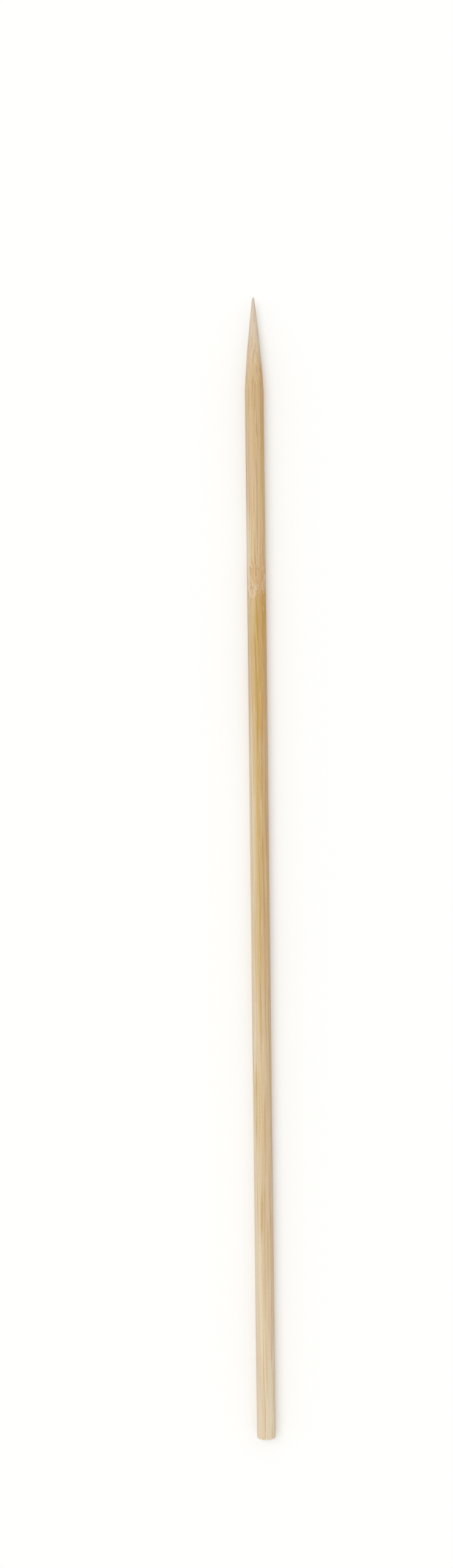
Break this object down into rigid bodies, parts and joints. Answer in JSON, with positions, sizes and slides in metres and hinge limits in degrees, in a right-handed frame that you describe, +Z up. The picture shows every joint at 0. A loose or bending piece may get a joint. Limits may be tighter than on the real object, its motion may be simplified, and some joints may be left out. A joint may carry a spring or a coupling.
{
  "type": "bamboo skewer",
  "caption": "Round bamboo skewer: a straight stick with a long sharpened tip and a flat sawn butt, for holding pieces of food on a grill.",
  "frame": {"origin": "centre of the flat butt end, on the shaft's axis", "axes": "+Y runs along the shaft from the butt to the tip; +Z is up with the skewer lying level, so the surface it lies on is half a diameter below the origin"},
  "size_m": [0.005, 0.3, 0.005],
  "materials": {
    "bamboo": "matte"
  },
  "bodies": {
    "root": {"skewer": "bamboo"}
  },
  "joints": []
}
